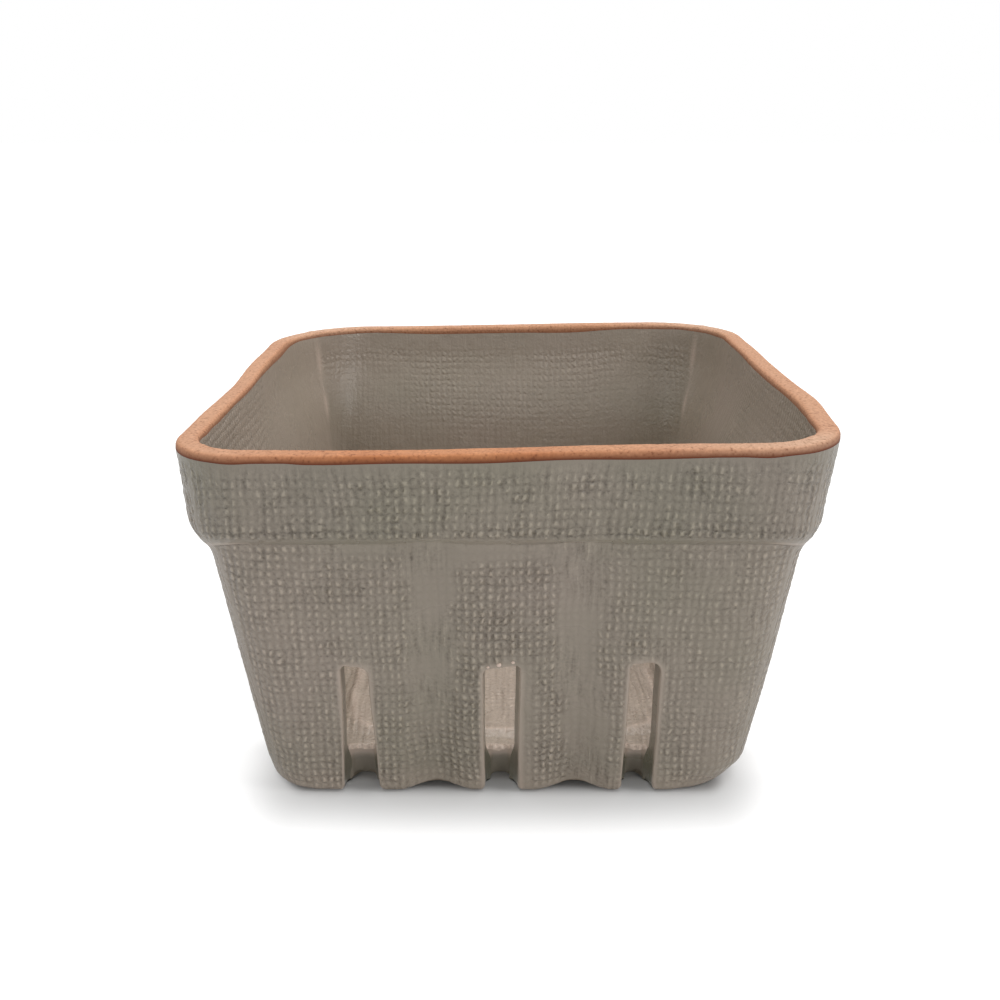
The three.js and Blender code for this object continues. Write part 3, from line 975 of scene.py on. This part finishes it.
# Materials
def srgb(*values):
    """Linear colour from the usual 0 to 255 values, for all but the darkest"""
    return (*(((value / 255.0 + 0.055) / 1.055) ** 2.4 for value in values), 1.0)


def grey(value):
    return (value, value, value, 1.0)


GLAZE_CLOUDS = ((0.3, srgb(133, 126, 111)), (0.7, srgb(144, 133, 121)))
# Lighter glaze colour, for thinner glaze and for painted light, highlights and glints
GLAZE_THIN_AND_LIT = srgb(188, 171, 157)
GLAZE_TINTS = ((0.0, (0.55, 0.53, 0.51, 1.0)), (0.3, (0.87, 0.86, 0.85, 1.0)), (0.5, grey(1.0)),
               (0.75, grey(1.13)), (1.0, grey(1.5)))
GLAZE_ROUGH = (0.18, 0.38)
GLAZE_BUMP = (1.0, 0.09)
CLAY_CLOUDS = ((0.3, srgb(174, 106, 61)), (0.7, srgb(190, 128, 84)))
CLAY_GRAIN = ((0.3, (0.5, 0.42, 0.36, 1.0)), (0.43, (0.92, 0.9, 0.88, 1.0)), (0.58, grey(1.0)),
              (0.7, grey(1.2)))
CLAY_PALE_AND_LIT = srgb(197, 160, 134)
CLAY_STAIN_AND_SHADE = srgb(102, 50, 23)
CLAY_ROUGH = (0.75, 0.95)
CLAY_BUMP = (0.5, 0.15)


class Nodes:
    """Adds shader nodes to one tree"""

    def __init__(self, tree):
        self.tree = tree

    def set(self, socket, value):
        """Links a socket to another socket or gives it a constant"""
        if isinstance(value, bpy.types.NodeSocket):
            self.tree.links.new(value, socket)
        else:
            socket.default_value = value

    def add(self, kind, **inputs):
        made = self.tree.nodes.new("ShaderNode" + kind)
        for key, value in inputs.items():
            self.set(made.inputs[key], value)
        return made

    def join(self, made, *values):
        """Fills a node's sockets in order"""
        for socket, value in zip(made.inputs, values):
            self.set(socket, value)
        return made.outputs[0]

    def sums(self, kind, *values):
        made = self.add("Math")
        made.operation = kind
        return self.join(made, *values)

    plus = partialmethod(sums, "ADD")
    times = partialmethod(sums, "MULTIPLY")
    minus = partialmethod(sums, "SUBTRACT")

    def swing(self, source, middle, gain):
        """Distance from the middle, times a gain"""
        return self.times(self.minus(source, middle), gain)

    def attribute(self, name):
        made = self.add("Attribute")
        made.attribute_name = name
        return made.outputs["Fac"]

    def noise(self, scale, detail):
        place = self.add("TexCoord").outputs["Object"]
        return self.add("TexNoise", Vector=place, Scale=scale, Detail=detail).outputs["Fac"]

    def span(self, source, old, new, kind="LINEAR"):
        """Carries one range of values onto another"""
        made = self.add("MapRange")
        made.interpolation_type = kind
        return self.join(made, source, *old, *new)

    def ramp(self, source, stops):
        made = self.add("ValToRGB", Fac=source)
        elements = made.color_ramp.elements
        while len(elements) < len(stops):
            elements.new(0.5)
        for element, (place, colour) in zip(elements, stops):
            element.position = place
            element.color = colour
        return made.outputs["Color"]

    def mix(self, share, first, second, kind="MIX"):
        made = self.add("Mix")
        made.data_type = "RGBA"
        made.blend_type = kind
        made.clamp_factor = False
        for place, value in ((0, share), (6, first), (7, second)):
            self.set(made.inputs[place], value)
        return made.outputs[2]


def new_material(name):
    material = bpy.data.materials.new(name)
    material.use_nodes = True
    return material, Nodes(material.node_tree), material.node_tree.nodes["Principled BSDF"]


def dress(nodes, shader, colour, rough, relief, bump):
    """Gives a shader its colour, its roughness and its fine relief, with the relief's strength and depth"""
    strength, depth = bump
    made = nodes.add("Bump", Strength=strength, Distance=depth * MM, Height=relief)
    nodes.set(shader.inputs["Base Color"], colour)
    nodes.set(shader.inputs["Roughness"], rough)
    nodes.set(shader.inputs["Normal"], made.outputs["Normal"])


def cloth_knots(nodes):
    """Knots of the cloth, broken up by fine noise, and upright marks along its threads"""
    waves, threads, cells = [], [], []
    for name, scale, stretch in (("warp", 420.0, 1.0), ("weft", 480.0, 0.12)):
        count = nodes.attribute(name)
        sway = nodes.swing(nodes.noise(scale, 2.0), 0.5, 0.6)
        turn = nodes.times(nodes.plus(count, sway), 2 * math.pi)
        waves.append(nodes.plus(nodes.times(nodes.sums("COSINE", turn), 0.5), 0.5))
        threads.append(nodes.times(count, stretch))
        cells.append(nodes.sums("ROUND", count))
    lines = nodes.add("TexNoise", Vector=nodes.join(nodes.add("CombineXYZ"), *threads), Scale=1.6, Detail=3.0)
    upright = nodes.swing(lines.outputs["Fac"], 0.5, 2.2)
    each = nodes.add("TexWhiteNoise")
    each.noise_dimensions = "2D"
    nodes.set(each.inputs["Vector"], nodes.join(nodes.add("CombineXYZ"), *cells))
    uneven = nodes.plus(nodes.times(each.outputs["Value"], 0.7), 0.65)
    crossing = nodes.times(nodes.times(waves[0], nodes.sums("POWER", waves[1], 0.5)), uneven)
    crossing = nodes.swing(crossing, 0.34, 3.2)
    speckle = nodes.swing(nodes.noise(1300.0, 2.0), 0.5, 3.6)
    knot = nodes.times(nodes.plus(crossing, speckle), nodes.attribute("cloth"))
    dragged = nodes.plus(nodes.times(upright, 3.0), speckle)
    knot = nodes.plus(knot, nodes.times(dragged, nodes.attribute("drag")))
    return nodes.plus(knot, nodes.times(upright, 0.55))


def glaze_material():
    material, nodes, shader = new_material("grey_glaze")
    knot = cloth_knots(nodes)
    clouds = nodes.ramp(nodes.noise(28.0, 3.0), GLAZE_CLOUDS)
    tint = nodes.ramp(nodes.span(knot, (-2.2, 2.2), (0.0, 1.0)), GLAZE_TINTS)
    # Glaze made lighter where it is thinner and where light, highlights and glints are painted, and darker
    # where shade is painted
    body = nodes.mix(nodes.attribute("thin"), clouds, GLAZE_THIN_AND_LIT)
    colour = nodes.mix(1.0, body, tint, "MULTIPLY")
    rough = nodes.span(nodes.noise(60.0, 3.0), (0.0, 1.0), GLAZE_ROUGH)
    relief = nodes.plus(knot, nodes.noise(1300.0, 3.0))
    dress(nodes, shader, colour, rough, relief, GLAZE_BUMP)
    return material


def clay_material():
    material, nodes, shader = new_material("bare_clay")
    broad = nodes.ramp(nodes.noise(45.0, 4.0), CLAY_CLOUDS)
    fine = nodes.ramp(nodes.noise(1600.0, 4.0), CLAY_GRAIN)
    # The rim's paleness with its painted highlights, then its stain with painted shade
    lit_clay = nodes.mix(nodes.attribute("drag"), broad, CLAY_PALE_AND_LIT)
    bare = nodes.mix(1.0, lit_clay, fine, "MULTIPLY")
    colour = nodes.mix(nodes.attribute("thin"), bare, CLAY_STAIN_AND_SHADE)
    rough = nodes.span(nodes.noise(300.0, 4.0), (0.0, 1.0), CLAY_ROUGH)
    relief = nodes.noise(1100.0, 4.0)
    dress(nodes, shader, colour, rough, relief, CLAY_BUMP)
    return material


# Camera, fitted to the photograph's outlines and taken as 1000 pixels square
PICTURE_PIXELS = 1000.0
FOCAL_PIXELS = 1080.0
CAMERA_PITCH = 19.6
CAMERA_BACK = 272.0
CAMERA_HEIGHT = 149.5
CAMERA_ACROSS = -1.25
SENSOR = 36.0

# Studio floor, with white added to it where it is seen away from the basket's foot
STAGE_HALF = 6.0
STAGE_LIT = 0.74
STAGE_SEEN = 0.47
GLOW_SIDES = (("X", 47.0, 1.5), ("Y", 50.0, 1.0))
GLOWS = ((3.0, 9.0, 0.25), (6.0, 30.0, 0.46))
WORLD_LIGHT = 0.455

# Lights: name, direction towards each, spread in degrees and strength
LIGHTS = (
    ("key_light", (1.0, -0.3, 0.9), 20.0, 0.62),
    ("right_front_light", (0.5, -0.85, 0.2), 8.0, 0.25),
    ("left_front_light", (-0.5, -0.85, 0.2), 4.0, 0.08),
    ("right_top_light", (0.36, 0.0, 1.0), 28.0, 1.2),
    ("left_top_light", (-0.36, 0.0, 1.0), 28.0, 1.05),
)


def add_object(name, data):
    made = bpy.data.objects.new(name, data)
    bpy.context.scene.collection.objects.link(made)
    return made


def add_camera():
    data = bpy.data.cameras.new("photo_camera")
    data.sensor_width = SENSOR
    data.sensor_height = SENSOR
    data.lens = FOCAL_PIXELS / PICTURE_PIXELS * SENSOR
    data.clip_start = 0.01
    camera = add_object("photo_camera", data)
    pitch = math.radians(CAMERA_PITCH)
    forward = Vector((0.0, math.cos(pitch), -math.sin(pitch)))
    up = Vector((0.0, math.sin(pitch), math.cos(pitch)))
    pose = Matrix((forward.cross(up), up, -forward)).transposed().to_4x4()
    pose.translation = Vector((CAMERA_ACROSS, -CAMERA_BACK, CAMERA_HEIGHT)) * MM
    camera.matrix_world = pose
    bpy.context.scene.camera = camera


def add_sun(name, towards, spread, strength):
    data = bpy.data.lights.new(name, "SUN")
    data.angle = math.radians(spread)
    data.energy = strength
    add_object(name, data).rotation_euler = Vector(towards).to_track_quat("Z", "Y").to_euler()


def stage_material():
    """Pale floor that keeps the basket's shadow and fades to white round it"""
    material, nodes, shader = new_material("pale_floor")
    nodes.tree.nodes.remove(shader)
    lit = nodes.add("BsdfDiffuse", Color=grey(STAGE_LIT)).outputs[0]
    seen = nodes.add("BsdfDiffuse", Color=grey(STAGE_SEEN)).outputs[0]
    place = nodes.add("SeparateXYZ", Vector=nodes.add("NewGeometry").outputs["Position"])
    outside = []
    for axis, half, steep in GLOW_SIDES:
        over = nodes.swing(nodes.sums("ABSOLUTE", place.outputs[axis]), half * MM, steep)
        outside.append(nodes.sums("POWER", nodes.sums("MAXIMUM", over, 0.0), 2.0))
    away = nodes.sums("SQRT", nodes.plus(*outside))
    glows = []
    for start, end, white in GLOWS:
        glows.append(nodes.span(away, (start * MM, end * MM), (0.0, white), "SMOOTHSTEP"))
    glow = nodes.add("Emission", Strength=nodes.plus(*glows)).outputs[0]
    shown = nodes.join(nodes.add("AddShader"), seen, glow)
    path = nodes.add("LightPath")
    chosen = nodes.join(nodes.add("MixShader"), path.outputs["Is Camera Ray"], lit, shown)
    nodes.set(nodes.tree.nodes["Material Output"].inputs["Surface"], chosen)
    return material


def add_stage():
    mesh = bpy.data.meshes.new("studio_floor")
    corners = [(x * STAGE_HALF, y * STAGE_HALF, 0.0) for x, y in ((-1, -1), (1, -1), (1, 1), (-1, 1))]
    mesh.from_pydata(corners, [], [(0, 1, 2, 3)])
    mesh.materials.append(stage_material())
    add_object("studio_floor", mesh)


def add_world():
    """White backdrop that lights the basket more weakly than it is seen"""
    world = bpy.data.worlds.new("studio_light")
    bpy.context.scene.world = world
    world.use_nodes = True
    world.node_tree.nodes.clear()
    nodes = Nodes(world.node_tree)
    path = nodes.add("LightPath")
    seen = nodes.add("Background", Color=grey(1.0), Strength=1.0).outputs[0]
    light = nodes.add("Background", Color=grey(1.0), Strength=WORLD_LIGHT).outputs[0]
    shown = nodes.sums("MAXIMUM", path.outputs["Is Camera Ray"], path.outputs["Is Glossy Ray"])
    shown = nodes.sums("MAXIMUM", shown, path.outputs["Is Transmission Ray"])
    nodes.add("OutputWorld", Surface=nodes.join(nodes.add("MixShader"), shown, light, seen))


add_camera()
add_stage()
add_world()
for light in LIGHTS:
    add_sun(*light)
bpy.context.scene.view_settings.view_transform = "Standard"

glaze, clay = glaze_material(), clay_material()
sides = [Side(index) for index in range(len(SIDES))]
share_corner_normals(sides)
for one in sides:
    wall_piece(one, glaze)
    collar_piece(one, glaze)
rim_piece(sides, clay)
floor_piece(glaze)
